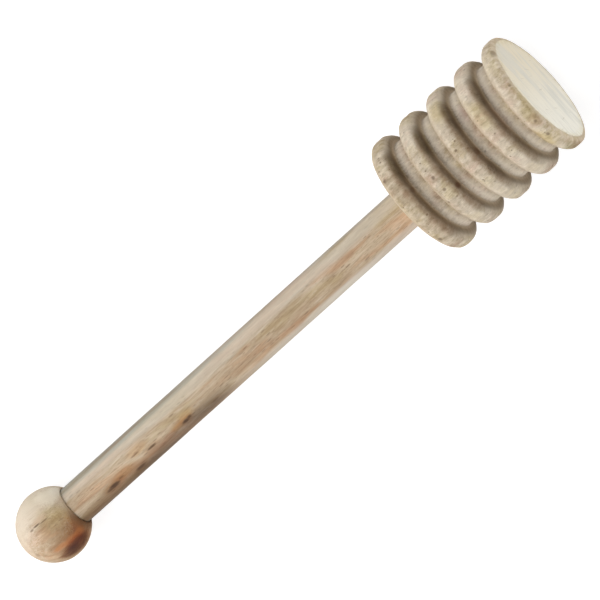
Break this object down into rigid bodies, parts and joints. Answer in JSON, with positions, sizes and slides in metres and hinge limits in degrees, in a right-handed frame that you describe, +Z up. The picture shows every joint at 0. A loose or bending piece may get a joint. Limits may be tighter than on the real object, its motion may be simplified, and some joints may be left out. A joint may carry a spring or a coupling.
{
  "type": "honey dipper",
  "caption": "Wooden honey dipper with a grooved cylindrical head of round-edged discs, a plain dowel handle and a round end ball.",
  "frame": {"origin": "on the table that the dipper lies on, under the middle of its bounding box", "axes": "+Z up; +X along the table from the end ball towards the grooved head, whose axis rises about 3.2 degrees from the table towards the head; +Y across the dipper"},
  "size_m": [0.1606, 0.03, 0.0319],
  "materials": {
    "head_wood": "raw turned beech, unvarnished, matt",
    "handle_wood": "raw beech dowel, unvarnished, matt",
    "ball_wood": "raw turned beech, unvarnished, matt"
  },
  "bodies": {
    "root": {"dipper_head": "head_wood", "handle": "handle_wood", "end_ball": "ball_wood"}
  },
  "joints": []
}
